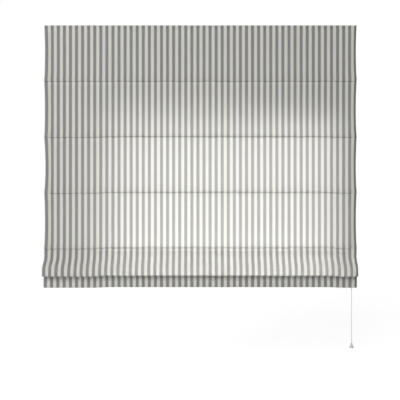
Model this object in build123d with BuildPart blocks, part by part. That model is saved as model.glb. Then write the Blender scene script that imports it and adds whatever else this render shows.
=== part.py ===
# Corded roman blind with its lowest fold drawn up.
# Millimetres, +Z up. The wall is the plane y = 0 and the room lies towards -Y.
# The origin is the middle bracket's screw hole, on the face of the wall.
from build123d import *
import os
from math import acos, atan2, degrees, sqrt

os.makedirs("parts", exist_ok=True)

# Cloth
cloth_width = 1300.0
cloth_thickness = 1.0
cloth_above_rail = 4.0
top_hem = 22.0
layer_gap = 0.3
first_line_drop = 233.5
line_pitch = 231.3
raised_gap = 12.0
lower_panel_drop = 150.8
tuck_bend = 1.0
tuck_flare = 1.5
fold_depth = 114.7
fold_bulge = 32.0
fold_turn = 7.0
fold_hang = 14.0
fold_gap = 0.6

# Rods, rings and the bar in the bottom hem
rod_diameter = 4.0
rod_play = 0.3
rod_inset = 8.0
ring_radius = 5.5
ring_wire = 2.0
bar_height = 20.0
bar_thickness = 3.0
bar_play = 0.3
bar_corner = 0.8
bar_inset = 7.0
bar_pocket_height = 27.0

# Headrail: open channel below for the cords, shallow channel above for the brackets
rail_depth = 26.0
rail_height = 25.0
rail_wall = 1.2
rail_lip = 4.0
rail_web_drop = 4.8
rail_corner = 0.6
rail_inset = 2.0
cap_thickness = 2.0
cap_corner = 1.5
cap_plug = 3.5
cap_wall = 1.5
cap_play = 0.15

# Hook and loop tape
tape_height = 20.0
tape_thickness = 1.2

# Wall brackets with a turning catch
bracket_inset = 125.0
bracket_width = 20.0
bracket_steel = 1.6
bracket_bend = 1.6
bracket_leg_below = 9.0
bracket_over_rail = 1.5
bracket_corner = 4.0
screw_hole_diameter = 4.5
screw_head_room = 3.9
hole_below_rail_top = 12.0
tongue_reach = 3.6
tongue_setback = 0.8
catch_plate = 1.1
catch_reach = 15.8
catch_lean = 25.0
catch_end_radius = 2.0
catch_hub_radius = 4.0
catch_hub_play = 1.5
catch_wing_reach = 8.0
catch_wing_thickness = 2.5
catch_play = 0.2
rivet_radius = 1.5
rivet_head_radius = 2.6
rivet_head = 0.6
running_play = 0.05

# Cords, their guides and the lock
cord_diameter = 1.4
cord_pitch = 3.0
cord_inset = 100.0
pull_inset = 16.4
roller_radius = 4.0
roller_flange_radius = 5.2
roller_flange = 1.0
roller_width = 12.0
roller_side_play = 0.3
roller_height = 10.9
axle_radius = 1.25
cord_play = 0.05
cheek_thickness = 1.8
cheek_radius = 6.4
guide_base = 2.0
guide_length = 34.0
guide_side_play = 0.2
collar_drop = 1.0
collar_wall = 1.5
cord_opening = 7.0
lock_tail = 22.0
lock_end_wall = 1.0
lock_rail_play = 0.5
spout_drop = 6.0
pin_radius = 2.5
pin_flat = 0.35
pin_teeth = 12
pin_gap = 0.15
pin_travel = 4.0
pin_lean = 20.0

# Cord pull
pull_drop = 1326.0
bell_height = 19.5
bell_radius = 8.8
bell_top_radius = 3.2
bell_wall = 1.4
bell_neck = 3.0
bell_hole_play = 0.2
pull_knot_radius = 2.6
tie_knot_radius = 2.2
knot_play = 0.3
gather_drop = 36.0
gather_radius = 200.0

# Places that follow from the sizes above
rail_length = cloth_width - 2 * (rail_inset + cap_thickness)
rail_top = hole_below_rail_top
rail_back_y = -(bracket_steel + screw_head_room)
rail_y = rail_back_y - rail_depth / 2
rail_front_y = rail_back_y - rail_depth
rail_mid_z = rail_top - rail_height / 2
chamber_top = rail_top - rail_web_drop - rail_wall
chamber_floor = rail_top - rail_height + rail_wall
chamber_width = rail_depth - 2 * rail_wall
slot_width = rail_depth - 2 * rail_lip
cloth_top = rail_top + cloth_above_rail
hem_y = rail_front_y - 2 * tape_thickness - cloth_thickness / 2
cloth_y = hem_y - cloth_thickness - layer_gap
half_neck = (cloth_thickness + layer_gap) / 2
rod_heights = [cloth_top - first_line_drop - n * line_pitch for n in range(4)]
last_line = rod_heights[-1]
raised_line = last_line - raised_gap
cloth_bottom = raised_line - lower_panel_drop
pocket_radius = rod_diameter / 2 + rod_play + cloth_thickness / 2
ring_y = rail_y
rod_y = ring_y - ring_radius - ring_wire / 2 - pocket_radius - cloth_thickness / 2
flare_turn = degrees(acos((half_neck + tuck_flare) / (tuck_flare + pocket_radius)))
flare_start_y = rod_y - sqrt((tuck_flare + pocket_radius) ** 2 - (half_neck + tuck_flare) ** 2)
fold_front_y = cloth_y - fold_bulge
fold_back_y = cloth_y - cloth_thickness - fold_gap
fold_shelf_y = fold_back_y - cloth_thickness - fold_gap
fold_bottom = last_line - fold_depth
cord_radius = cord_diameter / 2
turn_radius = roller_radius + cord_radius + cord_play
roller_z = chamber_floor + roller_height
cord_run_z = roller_z + turn_radius
cheek_y = roller_width / 2 + roller_side_play
cord_line_x = cloth_width / 2 - cord_inset
pull_x = cloth_width / 2 - pull_inset
bracket_pitch = cloth_width / 2 - bracket_inset
cord_lines = [-cord_line_x, 0.0, cord_line_x]
bracket_places = [-bracket_pitch, 0.0, bracket_pitch]

# Aluminium headrail: one extrusion with an open channel below and a lipped one above
with BuildPart() as headrail:
    with BuildSketch(Plane.YZ) as rail_section:
        with Locations((rail_y, rail_mid_z)):
            Rectangle(rail_depth, rail_height)
        fillet(rail_section.vertices(), rail_corner)
        with Locations((rail_y, (chamber_top + chamber_floor) / 2)):
            Rectangle(chamber_width, chamber_top - chamber_floor, mode=Mode.SUBTRACT)
        with Locations((rail_y, chamber_floor)):
            Rectangle(slot_width, 2 * rail_wall + 1, mode=Mode.SUBTRACT)
        with Locations((rail_y, rail_top - rail_wall)):
            Rectangle(
                chamber_width,
                rail_web_drop - rail_wall,
                align=(Align.CENTER, Align.MAX),
                mode=Mode.SUBTRACT,
            )
        with Locations((rail_y, rail_top)):
            Rectangle(slot_width, 2 * rail_wall + 1, mode=Mode.SUBTRACT)
    extrude(amount=rail_length / 2, both=True)
headrail.part.label = "headrail"
export_step(headrail.part, "parts/headrail.step")

# Moulded end caps with a hollow plug that fills the cord channel's mouth
with BuildPart() as end_cap_right:
    with BuildSketch(Plane.YZ.offset(rail_length / 2)):
        with Locations((rail_y, rail_mid_z)):
            RectangleRounded(rail_depth, rail_height, cap_corner)
    extrude(amount=cap_thickness)
    fillet(end_cap_right.faces().sort_by(Axis.X)[-1].edges(), cap_thickness / 4)
    with BuildSketch(Plane.YZ.offset(rail_length / 2)):
        with Locations((rail_y, (chamber_top + chamber_floor) / 2)):
            Rectangle(chamber_width - 2 * cap_play, chamber_top - chamber_floor - 2 * cap_play)
            Rectangle(
                chamber_width - 2 * (cap_play + cap_wall),
                chamber_top - chamber_floor - 2 * (cap_play + cap_wall),
                mode=Mode.SUBTRACT,
            )
    extrude(amount=-cap_plug)
end_cap_right.part.label = "end_cap_right"
export_step(end_cap_right.part, "parts/end_cap_right.step")

with BuildPart() as end_cap_left:
    mirror(end_cap_right.part, about=Plane.YZ)
end_cap_left.part.label = "end_cap_left"
export_step(end_cap_left.part, "parts/end_cap_left.step")

# Loop tape stuck to the rail and hook tape sewn to the back of the cloth
with BuildPart() as loop_tape:
    with Locations((0, rail_front_y, rail_mid_z)):
        Box(rail_length, tape_thickness, tape_height, align=(Align.CENTER, Align.MAX, Align.CENTER))
loop_tape.part.label = "loop_tape"
export_step(loop_tape.part, "parts/loop_tape.step")

with BuildPart() as hook_tape:
    with Locations((0, rail_front_y - tape_thickness, rail_mid_z)):
        Box(rail_length, tape_thickness, tape_height, align=(Align.CENTER, Align.MAX, Align.CENTER))
hook_tape.part.label = "hook_tape"
export_step(hook_tape.part, "parts/hook_tape.step")

# Bracket: one bent steel strip, wall leg, plate over the rail, tongue under its front lip
leg_y = -bracket_steel / 2
plate_z = rail_top + bracket_over_rail + bracket_steel / 2
tongue_y = rail_front_y + rail_lip + tongue_setback + bracket_steel / 2
tongue_z = rail_top - rail_wall - bracket_steel / 2
catch_y = rail_y + slot_width / 2 - catch_hub_radius - catch_hub_play
with BuildPart() as bracket_middle:
    with BuildSketch(Plane.YZ):
        with BuildLine():
            FilletPolyline(
                (leg_y, -bracket_leg_below),
                (leg_y, plate_z),
                (tongue_y, plate_z),
                (tongue_y, tongue_z),
                (tongue_y - tongue_reach, tongue_z),
                radius=bracket_bend,
            )
        trace(line_width=bracket_steel)
    extrude(amount=bracket_width / 2, both=True)
    fillet(
        bracket_middle.edges().filter_by(Axis.Y).group_by(Axis.Z)[0],
        bracket_corner,
    )
    with BuildSketch(Plane.XZ):
        Circle(screw_hole_diameter / 2)
    extrude(amount=bracket_steel, mode=Mode.SUBTRACT)
    with BuildSketch(Plane.XY.offset(plate_z)):
        with Locations((0, catch_y)):
            Circle(rivet_radius)
    extrude(amount=bracket_steel, both=True, mode=Mode.SUBTRACT)
    with Locations(
        *[
            (side * bracket_width / 4, rail_back_y - rail_lip / 2, rail_top + bracket_over_rail)
            for side in (-1, 1)
        ]
    ):
        Cylinder(
            bracket_steel / 2,
            bracket_over_rail,
            align=(Align.CENTER, Align.CENTER, Align.MAX),
        )
bracket_middle.part.label = "bracket_middle"
export_step(bracket_middle.part, "parts/bracket_middle.step")

with BuildPart() as bracket_left:
    with Locations((-bracket_pitch, 0, 0)):
        add(bracket_middle.part)
bracket_left.part.label = "bracket_left"
export_step(bracket_left.part, "parts/bracket_left.step")

with BuildPart() as bracket_right:
    with Locations((bracket_pitch, 0, 0)):
        add(bracket_middle.part)
bracket_right.part.label = "bracket_right"
export_step(bracket_right.part, "parts/bracket_right.step")

# Turning catch: arm above the rail, hub through the slot, wing under the rear lip
catch_arm_bottom = rail_top + catch_play
wing_top = rail_top - rail_wall - catch_play
hub_height = catch_arm_bottom + catch_plate - wing_top + catch_wing_thickness
arm_tip = Vector(catch_reach - catch_end_radius, 0).rotate(Axis.Z, catch_lean)
with BuildPart() as catch_middle:
    with BuildSketch(Plane.XY.offset(catch_arm_bottom)):
        with Locations((0, catch_y)):
            Circle(catch_hub_radius)
        with Locations((arm_tip.X, catch_y + arm_tip.Y)):
            Circle(catch_end_radius)
        make_hull()
    extrude(amount=catch_plate)
    with BuildSketch(Plane.XY.offset(wing_top)):
        with Locations((0, catch_y)):
            Circle(catch_hub_radius)
        with Locations((0, catch_y + catch_wing_reach - catch_end_radius)):
            Circle(catch_end_radius)
        make_hull()
    extrude(amount=-catch_wing_thickness)
    with BuildSketch(Plane.XY.offset(catch_arm_bottom + catch_plate)):
        with Locations((0, catch_y)):
            Circle(catch_hub_radius)
    extrude(amount=-hub_height)
    with BuildSketch(Plane.XY.offset(catch_arm_bottom + catch_plate)):
        with Locations((0, catch_y)):
            Circle(rivet_radius + running_play)
    extrude(amount=-hub_height, mode=Mode.SUBTRACT)
catch_middle.part.label = "catch_middle"
export_step(catch_middle.part, "parts/catch_middle.step")

with BuildPart() as catch_left:
    with Locations((-bracket_pitch, 0, 0)):
        add(catch_middle.part)
catch_left.part.label = "catch_left"
export_step(catch_left.part, "parts/catch_left.step")

with BuildPart() as catch_right:
    with Locations((bracket_pitch, 0, 0)):
        add(catch_middle.part)
catch_right.part.label = "catch_right"
export_step(catch_right.part, "parts/catch_right.step")

# Rivets that carry the catches, headed above the bracket and spread below the wing
rivet_top = plate_z + bracket_steel / 2
rivet_foot = wing_top - catch_wing_thickness - running_play
with BuildPart() as catch_rivets:
    for place in bracket_places:
        with BuildSketch(Plane.XY.offset(rivet_foot)):
            with Locations((place, catch_y)):
                Circle(rivet_radius)
        extrude(amount=rivet_top - rivet_foot)
        with BuildSketch(Plane.XY.offset(rivet_top)):
            with Locations((place, catch_y)):
                Circle(rivet_head_radius)
        extrude(amount=rivet_head, taper=20)
        with BuildSketch(Plane.XY.offset(rivet_foot)):
            with Locations((place, catch_y)):
                Circle(rivet_head_radius)
        extrude(amount=-rivet_head)
catch_rivets.part.label = "catch_rivets"
export_step(catch_rivets.part, "parts/catch_rivets.step")

# Cord guide: base on the rail's lower lips, collar in the slot, two cheeks for the roller
opening_width = 2 * cord_pitch + cord_diameter + 5
base_top = chamber_floor + guide_base
with BuildPart() as cord_guide_middle:
    with BuildSketch(Plane.XY.offset(chamber_floor)):
        with Locations((turn_radius / 2, rail_y)):
            RectangleRounded(guide_length, chamber_width - 2 * guide_side_play, 2)
    extrude(amount=guide_base)
    with BuildSketch(Plane.XY.offset(chamber_floor)):
        with Locations((0, rail_y)):
            RectangleRounded(cord_opening + 2 * collar_wall, opening_width + 2 * collar_wall, 2)
    extrude(amount=-(rail_wall + collar_drop))
    with BuildSketch(Plane.XZ.offset(-rail_y)):
        with Locations((turn_radius, roller_z)):
            Circle(cheek_radius)
        with Locations((turn_radius, base_top)):
            Rectangle(
                2 * cheek_radius, roller_z - base_top, align=(Align.CENTER, Align.MIN)
            )
    extrude(amount=cheek_y + cheek_thickness, both=True)
    with BuildSketch(Plane.XZ.offset(-rail_y)):
        with Locations((turn_radius, base_top)):
            Rectangle(
                guide_length, rail_height, align=(Align.CENTER, Align.MIN)
            )
    extrude(amount=cheek_y, both=True, mode=Mode.SUBTRACT)
    with BuildSketch(Plane.XY.offset(base_top)):
        with Locations((0, rail_y)):
            RectangleRounded(cord_opening, opening_width, 1.5)
    extrude(amount=-rail_height, mode=Mode.SUBTRACT)
    with BuildSketch(Plane.XZ.offset(-rail_y)):
        with Locations((turn_radius, roller_z)):
            Circle(axle_radius)
    extrude(amount=rail_depth, both=True, mode=Mode.SUBTRACT)
cord_guide_middle.part.label = "cord_guide_middle"
export_step(cord_guide_middle.part, "parts/cord_guide_middle.step")

with BuildPart() as cord_guide_left:
    with Locations((-cord_line_x, 0, 0)):
        add(cord_guide_middle.part)
cord_guide_left.part.label = "cord_guide_left"
export_step(cord_guide_left.part, "parts/cord_guide_left.step")

with BuildPart() as cord_guide_right:
    with Locations((cord_line_x, 0, 0)):
        add(cord_guide_middle.part)
cord_guide_right.part.label = "cord_guide_right"
export_step(cord_guide_right.part, "parts/cord_guide_right.step")

# Flanged rollers, one in each guide and one in the lock, all from the same mould
with BuildPart() as roller_middle:
    with BuildSketch(Plane.XZ.offset(-rail_y)):
        with Locations((turn_radius, roller_z)):
            Circle(roller_flange_radius)
            Circle(axle_radius + running_play, mode=Mode.SUBTRACT)
    extrude(amount=roller_width / 2, both=True)
    with BuildSketch(Plane.XZ.offset(-rail_y)):
        with Locations((turn_radius, roller_z)):
            Circle(roller_flange_radius + 1)
            Circle(roller_radius, mode=Mode.SUBTRACT)
    extrude(amount=roller_width / 2 - roller_flange, both=True, mode=Mode.SUBTRACT)
roller_middle.part.label = "roller_middle"
export_step(roller_middle.part, "parts/roller_middle.step")

with BuildPart() as roller_left:
    with Locations((-cord_line_x, 0, 0)):
        add(roller_middle.part)
roller_left.part.label = "roller_left"
export_step(roller_left.part, "parts/roller_left.step")

with BuildPart() as roller_right:
    with Locations((cord_line_x, 0, 0)):
        add(roller_middle.part)
roller_right.part.label = "roller_right"
export_step(roller_right.part, "parts/roller_right.step")

lock_roller_x = pull_x - turn_radius
with BuildPart() as lock_roller:
    with Locations((lock_roller_x - turn_radius, 0, 0)):
        add(roller_middle.part)
lock_roller.part.label = "lock_roller"
export_step(lock_roller.part, "parts/lock_roller.step")

# Steel axles, pressed into the cheeks of the guides and the lock
axle_places = [x + turn_radius for x in cord_lines] + [lock_roller_x]
with BuildPart() as roller_axles:
    with BuildSketch(Plane.XZ.offset(-rail_y)):
        with Locations(*[(x, roller_z) for x in axle_places]):
            Circle(axle_radius)
    extrude(amount=cheek_y + cheek_thickness, both=True)
roller_axles.part.label = "roller_axles"
export_step(roller_axles.part, "parts/roller_axles.step")

# Cord lock: cheeks with leaning slots, a spout below the rail and an end wall
lock_end = rail_length / 2 - cap_plug - lock_rail_play
lock_start = lock_roller_x - lock_tail
pin_x = pull_x + cord_radius + pin_gap + pin_radius
slot_tip = Vector(0, -1).rotate(Axis.Z, pin_lean) * pin_travel
with BuildPart() as lock_housing:
    with BuildSketch(Plane.XY.offset(chamber_floor)):
        with Locations(((lock_start + lock_end) / 2, rail_y)):
            RectangleRounded(lock_end - lock_start, chamber_width - 2 * guide_side_play, 2)
    extrude(amount=guide_base)
    with BuildSketch(Plane.XY.offset(chamber_floor)):
        with Locations((pull_x, rail_y)):
            RectangleRounded(cord_opening + 2 * collar_wall, opening_width + 2 * collar_wall, 2)
    extrude(amount=-(rail_wall + spout_drop))
    fillet(lock_housing.faces().sort_by(Axis.Z)[0].edges(), 0.6)
    with BuildSketch(Plane.XZ.offset(-rail_y)):
        with Locations((lock_roller_x, roller_z)):
            Circle(cheek_radius)
        with Locations((lock_roller_x - cheek_radius, base_top)):
            Rectangle(
                lock_end - lock_roller_x + cheek_radius,
                roller_z - base_top,
                align=(Align.MIN, Align.MIN),
            )
        with Locations((lock_roller_x, roller_z)):
            Rectangle(
                lock_end - lock_roller_x, cheek_radius, align=(Align.MIN, Align.MIN)
            )
    extrude(amount=cheek_y + cheek_thickness, both=True)
    with BuildSketch(Plane.XZ.offset(-rail_y)):
        with Locations((lock_end - lock_end_wall, base_top)):
            Rectangle(
                2 * lock_tail, rail_height, align=(Align.MAX, Align.MIN)
            )
    extrude(amount=cheek_y, both=True, mode=Mode.SUBTRACT)
    with BuildSketch(Plane.XY.offset(base_top)):
        with Locations((pull_x, rail_y)):
            RectangleRounded(cord_opening, opening_width, 1.5)
    extrude(amount=-rail_height, mode=Mode.SUBTRACT)
    with BuildSketch(Plane.XZ.offset(-rail_y)):
        with Locations((lock_roller_x, roller_z)):
            Circle(axle_radius)
        with Locations((pin_x, roller_z), (pin_x + slot_tip.X, roller_z + slot_tip.Y)):
            Circle(axle_radius + cord_play)
        with Locations((pin_x + slot_tip.X / 2, roller_z + slot_tip.Y / 2)):
            Rectangle(2 * (axle_radius + cord_play), pin_travel, rotation=pin_lean)
    extrude(amount=rail_depth, both=True, mode=Mode.SUBTRACT)
lock_housing.part.label = "lock_housing"
export_step(lock_housing.part, "parts/lock_housing.step")

# Toothed locking pin that jams the cords against the roller
with BuildPart() as locking_pin:
    with BuildSketch(Plane.XZ.offset(-rail_y)):
        with Locations((pin_x, roller_z)):
            Circle(pin_radius)
            with PolarLocations(pin_radius, pin_teeth):
                Circle(pin_flat, mode=Mode.SUBTRACT)
    extrude(amount=roller_width / 2, both=True)
    with BuildSketch(Plane.XZ.offset(-rail_y)):
        with Locations((pin_x, roller_z)):
            Circle(axle_radius)
    extrude(amount=cheek_y + cheek_thickness, both=True)
locking_pin.part.label = "locking_pin"
export_step(locking_pin.part, "parts/locking_pin.step")

# Cloth above the last rod: turned top hem, then a pinched tuck round each rod
with BuildPart() as cloth_panels:
    with BuildSketch(Plane.YZ):
        with BuildLine() as sheet:
            hem_turn = (hem_y - cloth_y) / 2
            Line(
                (hem_y, cloth_top - top_hem),
                (hem_y, cloth_top - cloth_thickness / 2 - hem_turn),
            )
            JernArc(sheet.line @ 1, (0, 1), hem_turn, 180)
            for height in rod_heights:
                upper = height + half_neck
                lower = height - half_neck
                Line(sheet.edges()[-1] @ 1, (cloth_y, upper + tuck_bend))
                JernArc((cloth_y, upper + tuck_bend), (0, -1), tuck_bend, 90)
                Line((cloth_y + tuck_bend, upper), (flare_start_y, upper))
                flare_in = JernArc((flare_start_y, upper), (1, 0), tuck_flare, flare_turn)
                around = JernArc(flare_in @ 1, flare_in % 1, pocket_radius, -180 - 2 * flare_turn)
                JernArc(around @ 1, around % 1, tuck_flare, flare_turn)
                Line((flare_start_y, lower), (cloth_y + tuck_bend, lower))
                JernArc((cloth_y + tuck_bend, lower), (-1, 0), tuck_bend, 90)
        trace(line_width=cloth_thickness)
    extrude(amount=cloth_width / 2, both=True)
cloth_panels.part.label = "cloth_panels"
export_step(cloth_panels.part, "parts/cloth_panels.step")

# The raised fold: cloth steps out past the lifted tuck, bulges forward and turns back up to it
fold_start = last_line - half_neck - tuck_bend
fold_end = raised_line + half_neck
fold_turn_z = fold_bottom + fold_turn + cloth_thickness / 2
step_height = fold_start - fold_end + tuck_bend
step_shift = cloth_y - fold_shelf_y
step_radius = (step_height**2 + step_shift**2) / (4 * step_shift)
step_turn = 2 * degrees(atan2(step_shift, step_height))
front_height = fold_end - tuck_bend - fold_hang - 2 * fold_turn - fold_turn_z
front_shift = fold_shelf_y - fold_front_y
front_radius = (front_height**2 + front_shift**2) / (4 * front_shift)
front_turn = 2 * degrees(atan2(front_shift, front_height))
back_quarter = (fold_end - tuck_bend - fold_turn_z) / 4
with BuildPart() as lowest_fold:
    with BuildSketch(Plane.YZ):
        with BuildLine():
            step_out = JernArc((cloth_y, fold_start), (0, -1), step_radius, -step_turn)
            step_down = JernArc(step_out @ 1, step_out % 1, step_radius, step_turn)
            hang = Line(step_down @ 1, (fold_shelf_y, fold_end - tuck_bend - fold_hang))
            lean = JernArc(hang @ 1, (0, -1), front_radius, -front_turn)
            front = JernArc(lean @ 1, lean % 1, front_radius, front_turn)
            drop = Line(front @ 1, (fold_front_y, fold_turn_z))
            turn = JernArc(drop @ 1, (0, -1), fold_turn, 180)
            rise = FilletPolyline(
                turn @ 1,
                (fold_front_y + 2 * fold_turn, fold_turn_z + back_quarter),
                (fold_back_y, fold_end - tuck_bend - back_quarter),
                (fold_back_y, fold_end - tuck_bend),
                radius=2 * fold_turn,
            )
            over = JernArc(rise @ 1, (0, 1), tuck_bend, -90)
            Line(over @ 1, (cloth_y + tuck_bend - layer_gap, fold_end))
        trace(line_width=cloth_thickness)
    extrude(amount=cloth_width / 2, both=True)
lowest_fold.part.label = "lowest_fold"
export_step(lowest_fold.part, "parts/lowest_fold.step")

# Cloth below the lifted rod, with the bar's pocket turned up behind it
pocket_turn = (bar_thickness + 2 * bar_play + cloth_thickness) / 2
pocket_centre = cloth_bottom + cloth_thickness / 2 + pocket_turn
with BuildPart() as lower_panel:
    with BuildSketch(Plane.YZ):
        with BuildLine():
            upper = raised_line + half_neck
            lower = raised_line - half_neck
            Line((cloth_y + tuck_bend, upper), (flare_start_y, upper))
            flare_in = JernArc((flare_start_y, upper), (1, 0), tuck_flare, flare_turn)
            around = JernArc(flare_in @ 1, flare_in % 1, pocket_radius, -180 - 2 * flare_turn)
            JernArc(around @ 1, around % 1, tuck_flare, flare_turn)
            Line((flare_start_y, lower), (cloth_y + tuck_bend, lower))
            JernArc((cloth_y + tuck_bend, lower), (-1, 0), tuck_bend, 90)
            Line((cloth_y, lower - tuck_bend), (cloth_y, pocket_centre))
            hem = JernArc((cloth_y, pocket_centre), (0, -1), pocket_turn, 180)
            back = Line(hem @ 1, (cloth_y + 2 * pocket_turn, pocket_centre + bar_height))
            Spline(
                back @ 1,
                (cloth_y + cloth_thickness + layer_gap, pocket_centre + bar_pocket_height),
                tangents=((0, 1), (0, 1)),
            )
        trace(line_width=cloth_thickness)
    extrude(amount=cloth_width / 2, both=True)
lower_panel.part.label = "lower_panel"
export_step(lower_panel.part, "parts/lower_panel.step")

# Glass fibre rods, resting on the floor of their pockets
for number, height in enumerate(rod_heights + [raised_line], 1):
    with BuildPart() as rod:
        with BuildSketch(Plane.YZ):
            with Locations((rod_y, height - rod_play + running_play)):
                Circle(rod_diameter / 2)
        extrude(amount=cloth_width / 2 - rod_inset, both=True)
        chamfer(rod.faces().filter_by(Axis.X).edges(), rod_diameter / 8)
    rod.part.label = f"rod_{number}"
    export_step(rod.part, f"parts/rod_{number}.step")

# Flat aluminium bar in the bottom hem
inner_turn = pocket_turn - cloth_thickness / 2 - bar_corner
bar_bottom = pocket_centre - sqrt(inner_turn**2 - (bar_thickness / 2 - bar_corner) ** 2) - bar_corner
with BuildPart() as bottom_bar:
    with BuildSketch(Plane.YZ):
        with Locations((cloth_y + pocket_turn, bar_bottom + running_play + bar_height / 2)):
            RectangleRounded(bar_thickness, bar_height, bar_corner)
    extrude(amount=cloth_width / 2 - bar_inset, both=True)
bottom_bar.part.label = "bottom_bar"
export_step(bottom_bar.part, "parts/bottom_bar.step")

# Rings sewn behind the rods, lying flat so that the cords run through them
with BuildPart() as cord_rings:
    with Locations(*[(x, ring_y, height) for height in rod_heights for x in cord_lines]):
        Torus(ring_radius, ring_wire / 2)
cord_rings.part.label = "cord_rings"
export_step(cord_rings.part, "parts/cord_rings.step")

# Rings on the lifted rod, standing on edge because the cords are tied to them
with BuildPart() as tied_rings:
    with Locations(*[Location((x, ring_y, raised_line), (0, 90, 0)) for x in cord_lines]):
        Torus(ring_radius, ring_wire / 2)
tied_rings.part.label = "tied_rings"
export_step(tied_rings.part, "parts/tied_rings.step")

# Cords: tied to a ring, up through the rings, over a roller, along the rail and down the lock
cord_offsets = [-cord_pitch, 0.0, cord_pitch]
bundle_reach = 2 * (cord_radius + cord_play / 2) / sqrt(3)
bundle_turns = [210, 330, 90]
bell_top = cloth_top - pull_drop
neck_floor = bell_top - bell_neck
bell_hole_radius = bundle_reach + cord_radius + bell_hole_play
pull_knot_z = neck_floor - sqrt(pull_knot_radius**2 - bell_hole_radius**2)
cords_foot = pull_knot_z + pull_knot_radius + running_play
tie_heights = [raised_line + sqrt(ring_radius**2 - offset**2) for offset in cord_offsets]
spout_foot = chamber_floor - rail_wall - spout_drop
cord_names = ["lift_cord_left", "lift_cord_middle", "lift_cord_right"]
for name, x, offset, tie, turn in zip(
    cord_names, cord_lines, cord_offsets, tie_heights, bundle_turns
):
    spread = Vector(bundle_reach, 0).rotate(Axis.Z, turn)
    together = (pull_x + spread.X, rail_y + spread.Y)
    cord_y = rail_y + offset
    radii = [turn_radius, turn_radius, gather_radius, gather_radius]
    with BuildPart() as lift_cord:
        with BuildLine() as route:
            FilletPolyline(
                (x, cord_y, tie + tie_knot_radius + knot_play),
                (x, cord_y, cord_run_z),
                (pull_x, cord_y, cord_run_z),
                (pull_x, cord_y, spout_foot),
                (*together, spout_foot - gather_drop),
                (*together, cords_foot),
                radius=radii,
            )
        with BuildSketch(Plane(origin=route.line @ 0, z_dir=route.line % 0)):
            Circle(cord_radius)
        sweep()
    lift_cord.part.label = name
    export_step(lift_cord.part, f"parts/{name}.step")
    print(name, "length", round(route.wires()[0].length, 1), "radii", radii)

# Knots that tie the cords to the lifted rod's rings
with BuildPart() as tie_knots:
    with Locations(
        *[
            (x, rail_y + offset, tie)
            for x, offset, tie in zip(cord_lines, cord_offsets, tie_heights)
        ]
    ):
        Sphere(tie_knot_radius)
    with Locations(*[Location((x, ring_y, raised_line), (0, 90, 0)) for x in cord_lines]):
        Torus(ring_radius, ring_wire / 2, mode=Mode.SUBTRACT)
tie_knots.part.label = "tie_knots"
export_step(tie_knots.part, "parts/tie_knots.step")

# Bell pull: hollow and open below, with a bored neck that the cords come through
pull_plane = Plane(origin=(pull_x, rail_y, bell_top - bell_height), x_dir=(1, 0, 0), z_dir=(0, -1, 0))
shoulder = bell_height - bell_neck
with BuildPart() as pull_bell:
    with BuildSketch(pull_plane):
        with BuildLine():
            Line((0, 0), (bell_radius, 0))
            Line((bell_radius, 0), (bell_radius, bell_wall))
            Spline(
                (bell_radius, bell_wall),
                (bell_top_radius, bell_height),
                tangents=((-0.5, 1), (0, 1)),
            )
            Line((bell_top_radius, bell_height), (0, bell_height))
            Line((0, bell_height), (0, 0))
        make_face()
    revolve(axis=Axis((pull_x, rail_y, 0), (0, 0, 1)))
    with BuildSketch(pull_plane):
        with BuildLine():
            Line((0, 0), (bell_radius - bell_wall, 0))
            Spline(
                (bell_radius - bell_wall, 0),
                (pull_knot_radius + bell_hole_play, shoulder),
                tangents=((-0.5, 1), (0, 1)),
            )
            Line((pull_knot_radius + bell_hole_play, shoulder), (0, shoulder))
            Line((0, shoulder), (0, 0))
        make_face()
    revolve(axis=Axis((pull_x, rail_y, 0), (0, 0, 1)), mode=Mode.SUBTRACT)
    with BuildSketch(Plane.XY.offset(bell_top)):
        with Locations((pull_x, rail_y)):
            Circle(bell_hole_radius)
    extrude(amount=-bell_neck, mode=Mode.SUBTRACT)
    fillet(pull_bell.edges().filter_by(GeomType.CIRCLE).group_by(Axis.Z)[-1], 0.4)
pull_bell.part.label = "pull_bell"
export_step(pull_bell.part, "parts/pull_bell.step")

# Knot of the gathered cords under the bell's neck
with BuildPart() as pull_knot:
    with Locations((pull_x, rail_y, pull_knot_z)):
        Sphere(pull_knot_radius)
pull_knot.part.label = "pull_knot"
export_step(pull_knot.part, "parts/pull_knot.step")
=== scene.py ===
import math

import bpy
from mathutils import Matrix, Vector, noise


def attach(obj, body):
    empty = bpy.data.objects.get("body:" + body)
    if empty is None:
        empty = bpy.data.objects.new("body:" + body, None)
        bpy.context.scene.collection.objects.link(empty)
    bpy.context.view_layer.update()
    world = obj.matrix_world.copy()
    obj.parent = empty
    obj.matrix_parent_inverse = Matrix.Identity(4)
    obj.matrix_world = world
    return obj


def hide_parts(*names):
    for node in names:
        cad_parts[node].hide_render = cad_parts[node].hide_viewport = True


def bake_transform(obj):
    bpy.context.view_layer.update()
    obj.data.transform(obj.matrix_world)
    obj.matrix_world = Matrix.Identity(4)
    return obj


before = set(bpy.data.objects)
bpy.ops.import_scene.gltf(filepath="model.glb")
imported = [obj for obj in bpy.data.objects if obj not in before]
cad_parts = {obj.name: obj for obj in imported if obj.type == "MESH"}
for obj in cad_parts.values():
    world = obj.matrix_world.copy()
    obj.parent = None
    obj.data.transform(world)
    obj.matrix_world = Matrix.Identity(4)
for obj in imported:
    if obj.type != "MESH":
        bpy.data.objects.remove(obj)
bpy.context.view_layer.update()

# Room
# The blind hangs square on to the eye, a little over two and a half metres away, in a white
# room. Soft light comes from the front left, and daylight from a window glows through the cloth.
eye = (-0.0015, -2.5357, -0.711)
floor_height = -1.62
room_light = 0.13
floor_glow = 0.88
window_x = 0.095
window_y = 0.075
window_width = 0.97
white = (1, 1, 1, 1)


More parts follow.
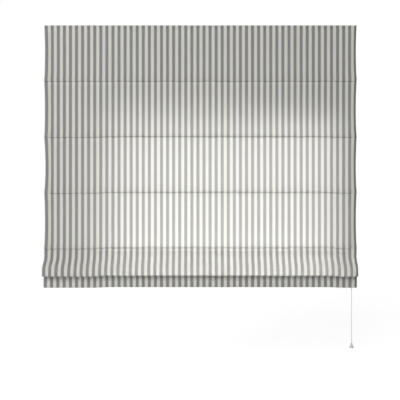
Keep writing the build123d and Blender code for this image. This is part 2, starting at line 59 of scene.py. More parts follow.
class Shade:
    """A socket of a material's nodes. Sums and products of it add their Math nodes."""

    def __init__(self, tree, socket=None):
        self.tree = tree
        self.socket = socket

    def node(self, kind, settings={}, inputs={}, output=0):
        """A new node's socket. The settings come first, then the values and links that go in."""
        made = self.tree.nodes.new("ShaderNode" + kind)
        for name, value in settings.items():
            setattr(made, name, value)
        for name, value in inputs.items():
            if isinstance(value, Shade):
                self.tree.links.new(value.socket, made.inputs[name])
            else:
                made.inputs[name].default_value = value
        return Shade(self.tree, made.outputs[output] if made.outputs else None)

    def maths(self, operation, first, second):
        return self.node("Math", {"operation": operation}, {0: first, 1: second})

    def __add__(self, other):
        return self.maths("ADD", self, other)

    def __sub__(self, other):
        return self.maths("SUBTRACT", self, other)

    def __rsub__(self, other):
        return self.maths("SUBTRACT", other, self)

    def __mul__(self, other):
        return self.maths("MULTIPLY", self, other)

    __radd__ = __add__
    __rmul__ = __mul__

    def sine(self):
        return self.node("Math", {"operation": "SINE"}, {0: self})

    def clamped(self):
        return self.node("Clamp", {}, {"Value": self})

    def between(self, low, high):
        """The colour between two colours that this mask picks."""
        return self.node("Mix", {"data_type": "RGBA"}, {0: self, 6: low, 7: high}, 2)


def finish(name):
    """A new material without nodes, and the start of its tree."""
    material = bpy.data.materials.new(name)
    material.use_nodes = True
    material.node_tree.nodes.clear()
    return material, Shade(material.node_tree)


def soft_lamp(name, place, towards, width, height, power):
    """A soft rectangular light that the camera doesn't see."""
    data = bpy.data.lights.new(name, "AREA")
    data.shape = "RECTANGLE"
    data.size = width
    data.size_y = height
    data.energy = power
    lamp = bpy.data.objects.new(name, data)
    lamp.location = place
    lamp.rotation_euler = (Vector(towards) - Vector(place)).to_track_quat("-Z", "Y").to_euler()
    lamp.visible_camera = False
    bpy.context.collection.objects.link(lamp)
    return lamp


camera_data = bpy.data.cameras.new("camera")
camera_data.lens = 54.05
camera_data.sensor_width = 36
camera = bpy.data.objects.new("camera", camera_data)
camera.location = eye
camera.rotation_euler = (math.radians(90), 0, 0)
bpy.context.collection.objects.link(camera)
bpy.context.scene.camera = camera
bpy.context.scene.view_settings.view_transform = "Standard"

white_room = bpy.data.worlds.new("white_room")
white_room.use_nodes = True
white_room.node_tree.nodes.clear()
bpy.context.scene.world = white_room
air = Shade(white_room.node_tree)
seen = air.node("LightPath", output="Is Camera Ray")
mirrored = air.node("LightPath", output="Is Glossy Ray")
glow = room_light + (1 - room_light) * (seen + mirrored).clamped()
backdrop = air.node("Background", {}, {"Color": white, "Strength": glow})
air.node("OutputWorld", {}, {"Surface": backdrop})

bpy.ops.object.select_all(action="DESELECT")
bpy.ops.mesh.primitive_plane_add(size=9, location=(0, 0, floor_height))
floor = bpy.context.object
floor.name = "floor"
bpy.ops.object.transform_apply(location=True)
floor_paint, paint = finish("floor_paint")
plain = paint.node("BsdfDiffuse", {}, {"Color": (0.8, 0.8, 0.8, 1)})
shaded = paint.node("BsdfDiffuse", {}, {"Color": (0.6, 0.6, 0.6, 1)})
bright = paint.node("Emission", {}, {"Color": white, "Strength": floor_glow})
shown = paint.node("AddShader", {}, {0: bright, 1: shaded})
camera_ray = paint.node("LightPath", output="Is Camera Ray")
either = paint.node("MixShader", {}, {0: camera_ray, 1: plain, 2: shown})
paint.node("OutputMaterial", {}, {"Surface": either})
floor.data.materials.append(floor_paint)

def daylight(name, height, tall, power):
    """A stretch of the window behind the cloth, at that height."""
    place = (window_x, window_y, height)
    towards = (0.02, -1, height)
    return soft_lamp(name, place, towards, window_width, tall, power)


soft_lamp(
    "high_light", (-2.4, -5.2, 2.3), towards=(0, 0, -0.5), width=3.4, height=2.6, power=305
)
soft_lamp(
    "low_light", (-0.3, -1.5, -0.88), towards=(0, 0, -1.0), width=1.4, height=0.4, power=3.6
)
window_light = daylight("window_light", -0.69, tall=0.62, power=3.1)
sill_light = daylight("sill_light", -1.02, tall=0.14, power=1.05)
rear_light = soft_lamp(
    "rear_light", (1.6, 3.6, 0.8), towards=(0, 0, -0.4), width=2.4, height=1.8, power=65
)

# Brackets, catches and rivets
# Three brackets bent from zinc-plated steel strip are screwed to the wall and reach over the
# rail. A moulded catch turns on a plain steel rivet in each and grips the rail's rear lip.
dull_zinc = (0.42, 0.43, 0.45, 1)
bright_zinc = (0.68, 0.69, 0.7, 1)
catch_grey = (0.66, 0.67, 0.66, 1)
catch_white = (0.74, 0.74, 0.73, 1)
dull_steel = (0.48, 0.48, 0.49, 1)
bright_steel = (0.66, 0.66, 0.67, 1)
metal = {"Metallic": 1.0}


def mottle(shade, scale, stretch=(1, 1, 1), detail=3):
    """Noise from 0 to 1 in the piece's own coordinates, drawn out along an axis by stretch."""
    place = shade.node("TexCoord", output="Object")
    placed = shade.node("Mapping", {}, {"Vector": place, "Scale": stretch})
    return shade.node("TexNoise", {}, {"Vector": placed, "Scale": scale, "Detail": detail})


def surface(shade, colour, roughness, height, depth, fixed={}):
    """One Principled surface with a bump of that depth in metres, joined to the output."""
    bump = shade.node("Bump", {}, {"Height": height, "Distance": depth})
    inputs = {"Base Color": colour, "Roughness": roughness, "Normal": bump, **fixed}
    skin = shade.node("BsdfPrincipled", {}, inputs)
    shade.node("OutputMaterial", {}, {"Surface": skin})


def dress(material, *nodes):
    """Give that material to solids that keep their shape."""
    for name in nodes:
        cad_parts[name].material_slots[0].material = material


bracket_steel, zinc = finish("bracket_steel")
zinc_place = zinc.node("TexCoord", output="Object")
spangle = zinc.node("TexVoronoi", {}, {"Vector": zinc_place, "Scale": 420})
rolled = mottle(zinc, 900, (0.08, 1, 1))
surface(
    zinc,
    colour=(0.55 * spangle + 0.45 * rolled).clamped().between(dull_zinc, bright_zinc),
    roughness=0.24 + 0.22 * rolled,
    height=0.7 * rolled + 0.3 * mottle(zinc, 2600),
    depth=0.00003,
    fixed=metal,
)
dress(bracket_steel, "bracket_left", "bracket_middle", "bracket_right")

catch_plastic, moulding = finish("catch_plastic")
grain = mottle(moulding, 4200, detail=2)
surface(
    moulding,
    colour=mottle(moulding, 160).between(catch_grey, catch_white),
    roughness=0.38 + 0.14 * grain,
    height=grain,
    depth=0.00002,
)
dress(catch_plastic, "catch_left", "catch_middle", "catch_right")

plain_steel, wire = finish("plain_steel")
scuffs = mottle(wire, 1500, (1, 0.1, 1))
surface(
    wire,
    colour=scuffs.between(dull_steel, bright_steel),
    roughness=0.2 + 0.25 * scuffs,
    height=scuffs,
    depth=0.00002,
    fixed=metal,
)
dress(plain_steel, "catch_rivets", "roller_axles")

# Headrail
# One aluminium extrusion with a white powder coat. The coat has a faint orange peel, and the
# lines of the die still show through it along the rail.
white_aluminium, powder = finish("white_aluminium")
peel = mottle(powder, 1300, detail=2)
die_lines = mottle(powder, 900, (0.004, 1, 1))
surface(
    powder,
    colour=mottle(powder, 40).between((0.78, 0.78, 0.77, 1), (0.83, 0.83, 0.82, 1)),
    roughness=0.3 + 0.12 * peel,
    height=0.6 * peel + 0.4 * die_lines,
    depth=0.00004,
    fixed={"Coat Weight": 0.15, "Coat Roughness": 0.3},
)
dress(white_aluminium, "headrail")

# End caps, cord guides and lock housing
# Injection moulded: smooth white caps, and guides and a lock housing of a duller nylon whose
# grain is just visible. They press or drop into the rail.
cap_plastic, cap = finish("cap_plastic")
cap_grain = mottle(cap, 3800, detail=2)
surface(
    cap,
    colour=mottle(cap, 120).between((0.77, 0.77, 0.75, 1), (0.83, 0.83, 0.82, 1)),
    roughness=0.34 + 0.12 * cap_grain,
    height=cap_grain,
    depth=0.00002,
    fixed={"Coat Weight": 0.1},
)
dress(cap_plastic, "end_cap_left", "end_cap_right")

guide_plastic, nylon = finish("guide_plastic")
nylon_grain = mottle(nylon, 3000)
surface(
    nylon,
    colour=mottle(nylon, 200).between((0.6, 0.6, 0.57, 1), (0.7, 0.7, 0.67, 1)),
    roughness=0.42 + 0.16 * nylon_grain,
    height=nylon_grain,
    depth=0.00003,
)
dress(guide_plastic, "cord_guide_left", "cord_guide_middle", "cord_guide_right", "lock_housing")

# Rollers and locking pin
# Three acetal rollers turn on steel axles in the guides. The lock's roller and its toothed pin
# are brass, rubbed bright where the three cords run.
cord_plane = -0.0185
cords_per_metre = 333.3
track_edge = 4.2
clean_acetal = (0.79, 0.79, 0.77, 1)
grimy_acetal = (0.55, 0.54, 0.51, 1)
dull_brass = (0.42, 0.3, 0.13, 1)
rubbed_brass = (0.78, 0.6, 0.31, 1)


def cord_tracks(shade):
    """1 where a cord runs across a roller, three tracks three millimetres apart."""
    place = shade.node("TexCoord", output="Object")
    along = shade.node("SeparateXYZ", {}, {"Vector": place}, "Y")
    from_track = shade.maths("PINGPONG", (along - cord_plane) * cords_per_metre + 30, 0.5)
    return (1 - from_track * track_edge).clamped()


roller_plastic, acetal = finish("roller_plastic")
tracks = cord_tracks(acetal)
lathe_marks = mottle(acetal, 1800)
surface(
    acetal,
    colour=(tracks * (0.4 + 0.6 * lathe_marks)).between(clean_acetal, grimy_acetal),
    roughness=0.3 + 0.1 * lathe_marks + 0.2 * tracks,
    height=lathe_marks - 0.6 * tracks,
    depth=0.00003,
)
dress(roller_plastic, "roller_left", "roller_middle", "roller_right")

lock_brass, brass = finish("lock_brass")
rubbed = cord_tracks(brass)
tarnish = mottle(brass, 500)
surface(
    brass,
    colour=(0.7 * rubbed + 0.5 * tarnish).clamped().between(dull_brass, rubbed_brass),
    roughness=0.45 - 0.2 * rubbed + 0.1 * tarnish,
    height=mottle(brass, 2600) - 0.5 * rubbed,
    depth=0.00003,
    fixed=metal,
)
dress(lock_brass, "lock_roller", "locking_pin")

# Hook and loop tape
# A loop tape is stuck to the rail's face and a hook tape is sewn to the back of the cloth.
# Both are woven nylon, and where they meet the hooks are buried in the loops.
tape_length = 1.292
tape_width = 0.02
tape_thickness = 0.00118
half_tape = 0.0006
tape_height = -0.0005
tape_bevel = 0.0003
selvedge = 0.0065
outer_selvedge = 0.009
fray_spacing = 0.01
frays_each_way = 64
fray_depth = 0.0004
frays_per_metre = 300
tape_nylon, pile = finish("tape")
fuzz = mottle(pile, 2400, detail=5)
surface(
    pile,
    colour=fuzz.between((0.62, 0.62, 0.6, 1), (0.84, 0.84, 0.83, 1)),
    roughness=0.75 + 0.2 * fuzz,
    height=fuzz,
    depth=0.0002,
    fixed={"Sheen Weight": 0.4, "Sheen Roughness": 0.6},
)


def tape(name, front, node):
    """A tape with that front face, whose woven edges wander a little."""
    bpy.ops.object.select_all(action="DESELECT")
    bpy.ops.mesh.primitive_cube_add(size=1)
    made = bpy.context.object
    made.name = name
    made.scale = (tape_length, tape_thickness, tape_width)
    made.location = (0, front + half_tape, tape_height)
    bpy.ops.object.transform_apply(location=True, scale=True)
    bpy.ops.object.mode_set(mode="EDIT")
    bpy.ops.mesh.select_all(action="SELECT")
    bpy.ops.mesh.bevel(offset=tape_bevel, segments=1)
    for height in (tape_height + selvedge, tape_height - selvedge):
        bpy.ops.mesh.select_all(action="SELECT")
        bpy.ops.mesh.bisect(plane_co=(0, 0, height), plane_no=(0, 0, 1))
    for number in range(-frays_each_way, frays_each_way + 1):
        bpy.ops.mesh.select_all(action="SELECT")
        bpy.ops.mesh.bisect(plane_co=(number * fray_spacing, 0, 0), plane_no=(1, 0, 0))
    bpy.ops.object.mode_set(mode="OBJECT")
    for vertex in made.data.vertices:
        stray = noise.noise(vertex.co * frays_per_metre)
        if abs(vertex.co.z - tape_height) > outer_selvedge:
            vertex.co.z += fray_depth * stray
    made.data.materials.append(tape_nylon)
    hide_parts(node)
    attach(made, "headrail_assembly")


tape("loop_band", -0.0327, "loop_tape")
tape("hook_band", -0.0339, "hook_tape")

# Cloth
# One sheet of woven cotton, grey and white stripes along the warp, cut 1300 mm wide. It is
# hemmed over the hook tape, tucked round each rod, drawn up in one fold and hemmed over the bar.
cloth_width = 1.3
cloth_thickness = 0.001
cloth_front = -0.0357
cloth_top = 0.01485
top_hem_foot = -0.006
tuck_heights = [-0.2175, -0.4488, -0.6801, -0.9114]
tuck_spacing = 0.2313
raised_tuck = -0.9234
mouth = 0.0032
half_neck = 0.00065
neck_depth = 0.003676
shoulder = 0.0015
pocket = 0.0028
fold_turn_radius = 0.007
fold_slope = 19.07
fold_slope_run = 0.04548
fold_bend = 0.014
fold_end_run = 0.02011
strip_length = 0.1474
bar_turn = 0.0023
bottom_hem = 0.02
cloth_columns = 109

# How it hangs, in metres. A band is where a change starts along an axis and where it is whole.
panel_top = 0.02
behind_fold = -0.04
front_band = (-0.0315, -0.0345)
fold_band = (-0.042, -0.056)
flare_band = (-0.036, -0.068)
jut_band = (0.9, 0.99)
edge_band = (0.52, 0.65)
pinch_band = (0.608, 0.65)
strip_band = (-1.0, -1.04)
sag_band = (-0.24, -0.44)
left_sag_band = (-0.376, -0.451)
right_sag_band = (0.523, 0.603)
left_curl_band = (-0.6, -0.65)
right_curl_band = (0.595, 0.65)
left_curl, right_curl = 0.001, 0.003
left_strip_flare, right_strip_flare = 0.0034, 0.0014
left_fold_flare, right_fold_flare = 0.0045, 0.002
pinch, deep_pinch = 0.0026, 0.0048
juts = (0.0024, 0.0028, 0.0037, 0.0045, 0)
end_sag = 0.0037
low_sag_share, low_sag_from = 0.7, -1.03
panel_wander, panel_ripple = 0.0028, 0.0009
fold_wander, fold_foot_wander = 0.0022, 0.0016

dark_grey = (0.18, 0.174, 0.18, 1)
pale_grey = (0.38, 0.372, 0.376, 1)
dull_white = (0.77, 0.77, 0.7, 1)
clear_white = (0.86, 0.86, 0.79, 1)


def rise(value, start, end):
    """0 at start, 1 at end, and an even curve between them."""
    share = min(max((value - start) / (end - start), 0), 1)
    return share * share * (3 - 2 * share)


def walk(start, heading, moves):
    """Points in Y and Z along a cloth section. A move is a run of that length in metres, or an
    arc of that radius and turn in degrees, and how many steps it has."""
    points = [Vector(start)]
    heading = math.radians(heading)
    for size, turn, steps in moves:
        for _ in range(steps):
            step = math.radians(turn) / steps
            length = size / steps if turn == 0 else 2 * size * math.sin(abs(step) / 2)
            heading += step / 2
            points.append(points[-1] + length * Vector((math.cos(heading), math.sin(heading))))
            heading += step / 2
    return points


def pocket_moves():
    """In along the neck, round the rod and out again."""
    neck = neck_depth - mouth
    return [
        (neck, 0, 1),
        (shoulder, 60, 3),
        (pocket, -300, 18),
        (shoulder, 60, 3),
        (neck, 0, 1),
        (mouth, 90, 5),
    ]


def ess(height, shift, steps):
    """Two arcs that carry a vertical run sideways by shift, to the left of its heading."""
    radius = (height**2 + shift**2) / (4 * abs(shift))
    turn = math.copysign(math.degrees(2 * math.atan2(abs(shift), height)), shift)
    return [(radius, turn, steps), (radius, -turn, steps)]


def hang(x, y, z):
    """Where a point of the pressed cloth settles when it hangs. A panel bellies, is pinched at
    its edges and juts out above its tuck. The cloth sags at its ends, and the fold flares."""
    right = x >= 0
    side = 1 if right else -1
    lines = [panel_top, *tuck_heights]
    panel = max([number for number, line in enumerate(lines) if z <= line], default=0)
    through = min(max((lines[panel] - z) / tuck_spacing, 0), 1)
    in_front = rise(y, *front_band)
    in_fold = rise(y, *fold_band)
    near_edge = rise(abs(x), *edge_band)
    belly = 4 * through * (1 - through) * in_front

    pinched = deep_pinch if panel == 2 and not right else pinch
    outwards = -pinched * belly * rise(abs(x), *pinch_band)
    if y > behind_fold and z < strip_band[0]:
        strip_flare = right_strip_flare if right else left_strip_flare
        outwards = strip_flare * near_edge * rise(z, *strip_band)
        belly = 0
    fold_flare = right_fold_flare if right else left_fold_flare
    outwards += fold_flare * near_edge * rise(y, *flare_band)

    ends = rise(x, *left_sag_band) + rise(x, *right_sag_band)
    sag = end_sag * ends * in_front * rise(z, *sag_band)
    if z < low_sag_from:
        sag *= low_sag_share
    sag += in_fold * fold_foot_wander * noise.noise(Vector((4.2 * x, 9.0, 0)))

    wander = panel_wander * noise.noise(Vector((2.6 * x, 1.7 * panel, 3.1 * z)))
    ripple = panel_ripple * noise.noise(Vector((7.0 * x + 5, 0.3 * panel, 4.0 * z)))
    curl = right_curl * rise(x, *right_curl_band) + left_curl * rise(x, *left_curl_band)
    sway = belly * (wander + ripple + curl)
    sway -= juts[panel] * in_front * rise(through, *jut_band)
    sway += in_fold * fold_wander * noise.noise(Vector((3.3 * x, 4.0, 6.0 * z)))
    return Vector((x + side * outwards, y + sway, z - sag))


def cut_cloth(name, vertices, faces, places, thickness):
    """A sheet of the striped cloth. Places are its UV map, metres of cloth across and down."""
    mesh = bpy.data.meshes.new(name)
    mesh.from_pydata(vertices, [], faces)
    uv = mesh.uv_layers.new(name="cloth")
    for loop in mesh.loops:
        uv.data[loop.index].uv = places[loop.vertex_index]
    mesh.shade_smooth()
    mesh.materials.append(striped_cloth)
    piece = bpy.data.objects.new(name, mesh)
    bpy.context.collection.objects.link(piece)
    thicken = piece.modifiers.new("thickness", "SOLIDIFY")
    thicken.thickness = thickness
    thicken.offset = 0
    bpy.ops.object.select_all(action="DESELECT")
    bpy.context.view_layer.objects.active = piece
    bpy.ops.object.modifier_apply(modifier="thickness")
    return piece


def patchwork(base, down, across):
    """The faces of a grid of that many vertices down and across, the first of them base."""
    faces = []
    for row in range(down - 1):
        for column in range(across - 1):
            corner = base + row * across + column
            faces.append((corner, corner + across, corner + across + 1, corner + 1))
    return faces


def cloth_piece(name, section, cloth_start):
    """The sheet along that section, and how far down the cloth it ends."""
    spacing = cloth_width / (cloth_columns - 1)
    across = [number * spacing - cloth_width / 2 for number in range(cloth_columns)]
    down = [cloth_start]
    for first, second in zip(section, section[1:]):
        down.append(down[-1] + (second - first).length)
    vertices = [hang(x, y, z) for y, z in section for x in across]
    places = [(x, travelled) for travelled in down for x in across]
    faces = patchwork(0, len(section), cloth_columns)
    return cut_cloth(name, vertices, faces, places, cloth_thickness), down[-1]


striped_cloth, weave = finish("striped_cloth")
cloth_uv = weave.node("UVMap", {"uv_map": "cloth"})
across_cloth = weave.node("SeparateXYZ", {}, {"Vector": cloth_uv}, "X")
down_cloth = weave.node("SeparateXYZ", {}, {"Vector": cloth_uv}, "Y")
warp = (across_cloth * (math.pi / 0.00062)).sine()
weft = (down_cloth * (math.pi / 0.00068)).sine()
over = 0.5 + 0.5 * warp * weft
slub_place = weave.node("Mapping", {}, {"Vector": cloth_uv, "Scale": (1, 0.03, 1)})
slubs = weave.node("TexNoise", {}, {"Vector": slub_place, "Scale": 1400, "Detail": 2})
weft_place = weave.node("Mapping", {}, {"Vector": cloth_uv, "Scale": (0.03, 1, 1)})
weft_slubs = weave.node("TexNoise", {}, {"Vector": weft_place, "Scale": 1250, "Detail": 2})
stray = weave.node("TexNoise", {}, {"Vector": cloth_uv, "Scale": 700, "Detail": 1})
stripes_per_metre = 39.582
first_stripe = -0.6417
stripe_phase = (across_cloth - first_stripe) * stripes_per_metre + 0.014 * stray + 59.993
from_dark = weave.maths("PINGPONG", stripe_phase, 0.5)
light_stripe = ((from_dark - 0.25) * 40 + 0.5).clamped()
grey_yarn = (0.45 * over + 0.35 * slubs + 0.2 * weft_slubs).between(dark_grey, pale_grey)
white_yarn = (0.3 * over + 0.4 * slubs + 0.3 * weft_slubs).between(dull_white, clear_white)
yarn_height = 0.6 * over + 0.25 * slubs + 0.15 * weft_slubs
cotton = weave.node(
    "BsdfPrincipled",
    {},
    {
        "Base Color": light_stripe.between(grey_yarn, white_yarn),
        "Roughness": 0.82 + 0.12 * slubs,
        "Normal": weave.node("Bump", {}, {"Height": yarn_height, "Distance": 0.00008}),
        "Specular IOR Level": 0.15,
        "Sheen Weight": 0.08,
        "Sheen Roughness": 0.7,
    },
)
let_through = weave.node("BsdfTranslucent", {}, {"Color": (0.97, 0.97, 0.96, 1)})
share_through = 0.43 + 0.05 * light_stripe
cloth_mix = weave.node("MixShader", {}, {0: share_through, 1: cotton, 2: let_through})
weave.node("OutputMaterial", {}, {"Surface": cloth_mix})

first_run = cloth_top - tuck_heights[0] - half_neck - mouth
panel_run = tuck_spacing - 2 * (half_neck + mouth)
upper_moves = [(cloth_top - top_hem_foot, 0, 4), (half_neck, 180, 6)]
for run in (first_run, panel_run, panel_run, panel_run):
    upper_moves += [(run, 0, 20), (mouth, 90, 5), *pocket_moves()]
upper_moves += [
    *ess(0.0093, -0.0032, 4),
    (0.003, 0, 1),
    *ess(0.0812, -0.0288, 10),
    (0.00735, 0, 2),
    (fold_turn_radius, 90, 7),
]
upper_section = walk((cloth_front + 2 * half_neck, top_hem_foot), 90, upper_moves)
cloth_upper, fold_turn = cloth_piece("cloth_upper", upper_section, 0)
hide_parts("cloth_panels", "lowest_fold")
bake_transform(cloth_upper)

back_moves = [
    (fold_turn_radius, 90, 7),
    (fold_end_run, 0, 3),
    (fold_bend, -fold_slope, 4),
    (fold_slope_run, 0, 6),
    (fold_bend, fold_slope, 4),
    (fold_end_run, 0, 3),
    (0.001, -90, 4),
    (0.0013, 0, 1),
]
back_section = walk(upper_section[-1], 0, back_moves)
fold_back, fold_end = cloth_piece("fold_back", back_section, fold_turn)
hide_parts("lowest_fold")
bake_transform(fold_back)
fold_end - fold_turn

bottom_moves = [
    (0.0029, 0, 1),
    *pocket_moves()[1:],
    (strip_length - half_neck - mouth + 0.0006, 0, 16),
    (bar_turn, 180, 10),
    (bottom_hem, 0, 3),
    *ess(0.007, 0.0033, 5),
]
bottom_section = walk((-0.034924, raised_tuck + half_neck), 0, bottom_moves)
cloth_bottom, cloth_end = cloth_piece("cloth_bottom", bottom_section, fold_end)
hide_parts("lower_panel")
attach(cloth_bottom, "bottom_section")
cloth_end - fold_end

# Side hems
# The cloth's edges are turned back by 25 mm and pressed flat behind it. They stop short of
# each tuck, so that the rods' pockets stay thin.
hem_width = 0.025
hem_from = 0.6245
hem_thickness = 0.0007
hem_behind = 0.00092
clear_of_tuck = 0.006
strip_hem_foot = -1.0435


def side_hem(name, runs, body):
    """The hems at both edges, from the top to the bottom of each run."""
    hem_down, hem_across = 15, 4
    vertices, faces, places = [], [], []
    for top, bottom in runs:
        for side in (-1, 1):
            hem_faces = patchwork(len(vertices), hem_down, hem_across)
            faces += hem_faces if side == 1 else [face[::-1] for face in hem_faces]
            for row in range(hem_down):
                z = top + (bottom - top) * row / (hem_down - 1)
                for column in range(hem_across):
                    x = side * (hem_from + hem_width * column / (hem_across - 1))
                    vertices.append(hang(x, cloth_front + hem_behind, z))
                    places.append((side * cloth_width - x, -z))
    hem = cut_cloth(name, vertices, faces, places, hem_thickness)
    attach(hem, body)
    return hem


hem_tops = [-0.0135, *[height - clear_of_tuck for height in tuck_heights[:3]]]
hem_feet = [height + clear_of_tuck for height in tuck_heights]
side_hems = side_hem("side_hems", list(zip(hem_tops, hem_feet)), "headrail_assembly")
strip_run = (raised_tuck - clear_of_tuck, strip_hem_foot)
lower_hems = side_hem("lower_side_hems", [strip_run], "bottom_section")

# Light on the cloth
# Daylight gets past the fold only in part, and none of it reaches the strip below. The light
# for the rail and the fittings behind leaves out the cloth and the floor.
unlit = bpy.data.collections.new("not_lit_by_window")
clear = bpy.data.collections.new("clear_to_sill_light")
soft_side = bpy.data.collections.new("not_lit_from_the_rear")
strip_pieces = [fold_back, cloth_bottom, lower_hems]
for group, members in (
    (unlit, strip_pieces),
    (clear, [*strip_pieces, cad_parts["rod_5"]]),
    (soft_side, [*strip_pieces, cloth_upper, side_hems, floor]),
):
    for member in members:
        group.objects.link(member)
    for linked in group.collection_objects:
        linked.light_linking.link_state = "EXCLUDE"
window_light.light_linking.receiver_collection = unlit
sill_light.light_linking.receiver_collection = unlit
sill_light.light_linking.blocker_collection = clear
rear_light.light_linking.receiver_collection = soft_side

# Rods and bottom bar
# Five pultruded glass fibre rods stiffen the tucks, and a flat bar of mill-finish aluminium
# weighs the bottom hem. Their drawn fibres and rolling lines run along them.
glass_fibre, resin = finish("glass_fibre")
fibres = mottle(resin, 2600, (0.01, 1, 1))
surface(
    resin,
    colour=fibres.between((0.62, 0.64, 0.56, 1), (0.82, 0.83, 0.77, 1)),
    roughness=0.32 + 0.2 * fibres,
    height=fibres,
    depth=0.00004,
)
dress(glass_fibre, "rod_1", "rod_2", "rod_3", "rod_4", "rod_5")

aluminium_bar, mill = finish("aluminium_bar")
rolling = mottle(mill, 1600, (0.01, 1, 1))
surface(
    mill,
    colour=rolling.between((0.6, 0.6, 0.61, 1), (0.78, 0.78, 0.79, 1)),
    roughness=0.28 + 0.2 * rolling,
    height=rolling,
    depth=0.00003,
    fixed=metal,
)
dress(aluminium_bar, "bottom_bar")

# Rings
# Moulded clear white rings, one behind each rod under each cord guide. Each is sewn on with a
# few turns of thread.
ring_plastic, ring = finish("ring_plastic")
ring_grain = mottle(ring, 2400)
surface(
    ring,
    colour=ring_grain.between((0.72, 0.72, 0.7, 1), (0.82, 0.82, 0.81, 1)),
    roughness=0.22 + 0.14 * ring_grain,
    height=ring_grain,
    depth=0.00002,
    fixed={"Coat Weight": 0.3},
)
dress(ring_plastic, "cord_rings", "tied_rings")

# Lift cords and their knots
# Three braided polyester cords, 1.4 mm thick. Each is wound round a ring on the lifted rod, runs
# up through the rings, over a roller, along the rail and down through the lock. Below it the
# three hang side by side, and one overhand knot ties them together inside the bell.
cord_width = 0.0014
pull_x = 0.6336
cord_run = 0.00385
spout = -0.019
cord_foot = -1.31228
turn_room = 0.0095
bundle = 0.000837
plait_rate = 620
cords = [
    ("left", -0.55, -0.0215, -0.91629, 210, 2.1225),
    ("middle", 0.0, -0.0185, -0.9154, 330, 1.5716),
    ("right", 0.55, -0.0155, -0.91629, 90, 1.0225),
]
ring_radius = 0.0055
coil_radius = 0.00175
coil_pitch = 0.00145
coil_start = 0.0026
coil_turns = 2.5
points_in_turn = 12
knot_height = -1.31493
knot_size = 0.0005
knot_points = 30
knot_thickness = 0.0022
braid, plait = finish("braid")
cord_uv = plait.node("UVMap", {"uv_map": "braid"})
around_cord = plait.node("SeparateXYZ", {}, {"Vector": cord_uv}, "X")
along_cord = plait.node("SeparateXYZ", {}, {"Vector": cord_uv}, "Y")
one_way = ((around_cord * 4 + along_cord * plait_rate) * math.tau).sine()
other_way = ((around_cord * 4 - along_cord * plait_rate) * math.tau).sine()
strands = 0.5 + 0.5 * one_way * other_way
fray = plait.node("TexNoise", {}, {"Vector": cord_uv, "Scale": 900, "Detail": 2})
surface(
    plait,
    colour=(0.7 * strands + 0.3 * fray).between((0.6, 0.6, 0.58, 1), (0.86, 0.86, 0.84, 1)),
    roughness=0.6 + 0.25 * fray,
    height=strands,
    depth=0.00012,
    fixed={"Sheen Weight": 0.2, "Sheen Roughness": 0.5},
)


def spline(points, cyclic=False, resolution=16):
    """Points along the smooth line that a NURBS through those route points gives."""
    curve = bpy.data.curves.new("route", "CURVE")
    curve.dimensions = "3D"
    curve.resolution_u = resolution
    line = curve.splines.new("NURBS")
    line.points.add(len(points) - 1)
    for point, place in zip(line.points, points):
        point.co = (*place, 1)
    line.order_u = 3
    line.use_endpoint_u = not cyclic
    line.use_cyclic_u = cyclic
    route = bpy.data.objects.new("route", curve)
    bpy.context.collection.objects.link(route)
    bpy.context.view_layer.update()
    read = bpy.data.meshes.new_from_object(route)
    path = [vertex.co.copy() for vertex in read.vertices]
    bpy.data.objects.remove(route)
    bpy.data.curves.remove(curve)
    bpy.data.meshes.remove(read)
    return path


def tube(name, paths, radius, sides=10, skin=braid):
    """Round tubes along those paths as one mesh, with a UV map around and along each."""
    vertices, faces, places = [], [], []
    for path in paths:
        base = len(vertices)
        travelled = 0
        side = None
        for number, point in enumerate(path):
            last = path[max(number - 1, 0)]
            ahead = (path[min(number + 1, len(path) - 1)] - last).normalized()
            if side is None:
                side = ahead.orthogonal().normalized()
            side = (side - side.dot(ahead) * ahead).normalized()
            other = ahead.cross(side)
            travelled += (point - last).length
            for corner in range(sides):
                turn = math.tau * corner / sides
                vertices.append(point + radius * (math.cos(turn) * side + math.sin(turn) * other))
                places.append(travelled)
        for ring_start in range(base, len(vertices) - sides, sides):
            for corner in range(sides):
                here = ring_start + corner
                beside = ring_start + (corner + 1) % sides
                faces.append((here, beside, beside + sides, here + sides))
        faces.append(tuple(base + corner for corner in reversed(range(sides))))
        faces.append(tuple(range(len(vertices) - sides, len(vertices))))
    mesh = bpy.data.meshes.new(name)
    mesh.from_pydata(vertices, [], faces)
    uv = mesh.uv_layers.new(name="braid")
    for face in mesh.polygons:
        turns = [index % sides for index in face.vertices]
        wraps = len(turns) == 4 and max(turns) - min(turns) > 1
        for loop, index, turn in zip(face.loop_indices, face.vertices, turns):
            share = (turn + sides if wraps and turn == 0 else turn) / sides
            uv.data[loop].uv = (share, places[index])
    mesh.shade_smooth()
    mesh.materials.append(skin)
    piece = bpy.data.objects.new(name, mesh)
    bpy.context.collection.objects.link(piece)
    return piece


def ring_coil(x, y):
    """A cord's end, two and a half turns round the top of the ring that it lifts."""
    ring_middle = Vector((x, cord_plane, raised_tuck))
    above = math.sqrt(ring_radius**2 - (y - cord_plane) ** 2)
    centre = Vector((x, y, raised_tuck + above))
    outward = (centre - ring_middle).normalized()
    across = Vector((1, 0, 0))
    along_wire = across.cross(outward)
    coil = [centre + coil_start * outward]
    for number in range(int(coil_turns * points_in_turn) + 1):
        turns = number / points_in_turn
        turned = math.tau * turns
        winding = coil_radius * (math.cos(turned) * outward + math.sin(turned) * across)
        coil.append(centre + winding + (turns - coil_turns / 2) * coil_pitch * along_wire)
    return spline(coil, resolution=4)


coils = [ring_coil(x, y) for _, x, y, _, _, _ in cords]
tie_coils = tube("tie_coils", coils, cord_width / 2, 8)
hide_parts("tie_knots")
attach(tie_coils, "bottom_section")

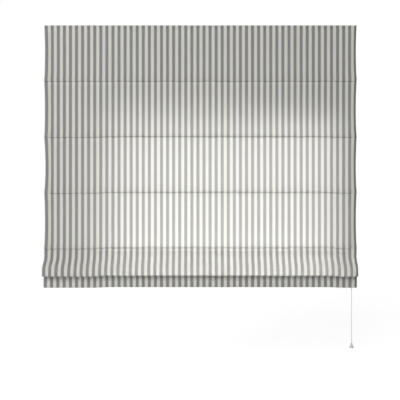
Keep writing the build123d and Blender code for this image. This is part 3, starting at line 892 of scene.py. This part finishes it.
knot_middle = Vector((pull_x, cord_plane, knot_height))
overhand = []
for number in range(knot_points):
    turned = math.tau * number / knot_points
    across = math.sin(turned) + 2 * math.sin(2 * turned)
    inwards = math.cos(turned) - 2 * math.cos(2 * turned)
    upwards = -2.2 * math.sin(3 * turned)
    overhand.append(knot_middle + knot_size * Vector((across, inwards, upwards)))
end_knot = tube("end_knot", [spline(overhand, True, 4)], knot_thickness / 2, 8)
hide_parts("pull_knot")
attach(end_knot, "pull")

for name, x, y, tie, turn, length in cords:
    lifting = spline(
        [
            (x, y, tie),
            (x, y, tie / 2),
            (x, y, cord_run - turn_room),
            (x, y, cord_run),
            (x + turn_room, y, cord_run),
            ((x + pull_x) / 2, y, cord_run),
            (pull_x - turn_room, y, cord_run),
            (pull_x, y, cord_run),
            (pull_x, y, cord_run - turn_room),
            (pull_x, y, spout),
        ]
    )
    lift_cord = tube(f"cord_{name}_to_lock", [lifting], cord_width / 2)
    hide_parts(f"lift_cord_{name}")
    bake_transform(lift_cord)
    gathered_x = pull_x + bundle * math.cos(math.radians(turn))
    gathered_y = cord_plane + bundle * math.sin(math.radians(turn))
    hanging = spline(
        [
            (pull_x, y, spout),
            (pull_x, y, spout - 0.008),
            (gathered_x, gathered_y, -0.055),
            (gathered_x, gathered_y, -0.1),
            (gathered_x, gathered_y, -0.7),
            (gathered_x, gathered_y, -1.3),
            (gathered_x, gathered_y, cord_foot),
        ]
    )
    pull_cord = tube(f"cord_{name}_to_pull", [hanging], cord_width / 2)
    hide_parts(f"lift_cord_{name}")
    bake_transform(pull_cord)
    [end_knot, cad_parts["pull_bell"]] if name == "middle" else []

# Sewing threads
# White polyester thread. A row of lock stitches closes the top hem and the bottom hem, one
# every three millimetres, and five turns hold each ring on its rod's pocket.
thread_radius = 0.00016
stitch_spacing = 0.003
stitches_each_way = 215
stitch = ((-0.0012, -0.0003), (-0.0007, 0.0001), (0.0007, 0.0001), (0.0012, -0.0003))
thread_y = -0.0243
wound_turns = 5
wound_width = 0.0018
wound_deep = 0.0015
wound_tall = 0.0013
sewing_thread, thread = finish("sewing_thread")
ply = mottle(thread, 5200, (1, 1, 0.4))
surface(
    thread,
    colour=ply.between((0.68, 0.68, 0.66, 1), (0.84, 0.84, 0.82, 1)),
    roughness=0.5 + 0.2 * ply,
    height=ply,
    depth=0.00003,
    fixed={"Sheen Weight": 0.2},
)


def stitch_row(height):
    """Short stitches on the cloth's face that dive into it at both ends."""
    row = []
    for number in range(-stitches_each_way, stitches_each_way + 1):
        path = []
        for along, proud in stitch:
            place = hang(number * stitch_spacing + along, cloth_front, height)
            place.y -= cloth_thickness / 2 + proud
            path.append(place)
        row.append(path)
    return row


def ring_turns(x, height, upright):
    """A thread wound five times round a ring's wire and through the pocket in front of it."""
    last = wound_turns * points_in_turn
    winding = []
    for number in range(last + 1):
        turned = math.tau * number / points_in_turn
        sideways = wound_tall * math.sin(turned)
        travel = (number / last - 0.5) * wound_width
        inwards = thread_y + wound_deep * math.cos(turned)
        across, upwards = (sideways, travel) if upright else (travel, sideways)
        winding.append((x + across, inwards, height + upwards))
    return spline(winding, resolution=2)


ring_lines = [cord[1] for cord in cords]
ring_threads = [ring_turns(x, z, False) for z in tuck_heights for x in ring_lines]
tied_threads = [ring_turns(x, raised_tuck, True) for x in ring_lines]
for name, paths, sides, body in (
    ("top_hem_thread", stitch_row(-0.0035), 4, "headrail_assembly"),
    ("bottom_hem_thread", stitch_row(-1.0465), 4, "bottom_section"),
    ("ring_threads", ring_threads, 5, "headrail_assembly"),
    ("tied_ring_threads", tied_threads, 5, "bottom_section"),
):
    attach(tube(name, paths, thread_radius, sides, sewing_thread), body)

# Bell pull
# A hollow bell moulded in pale, slightly glossy plastic. The three cords come down through its
# bored neck, and the knot inside is too thick to follow them back.
pull_plastic, bell = finish("pull_plastic")
bell_grain = mottle(bell, 2200, detail=2)
surface(
    bell,
    colour=mottle(bell, 90).between((0.46, 0.46, 0.455, 1), (0.54, 0.54, 0.53, 1)),
    roughness=0.38 + 0.12 * bell_grain,
    height=bell_grain,
    depth=0.00002,
    fixed={"Coat Weight": 0.1},
)
dress(pull_plastic, "pull_bell")
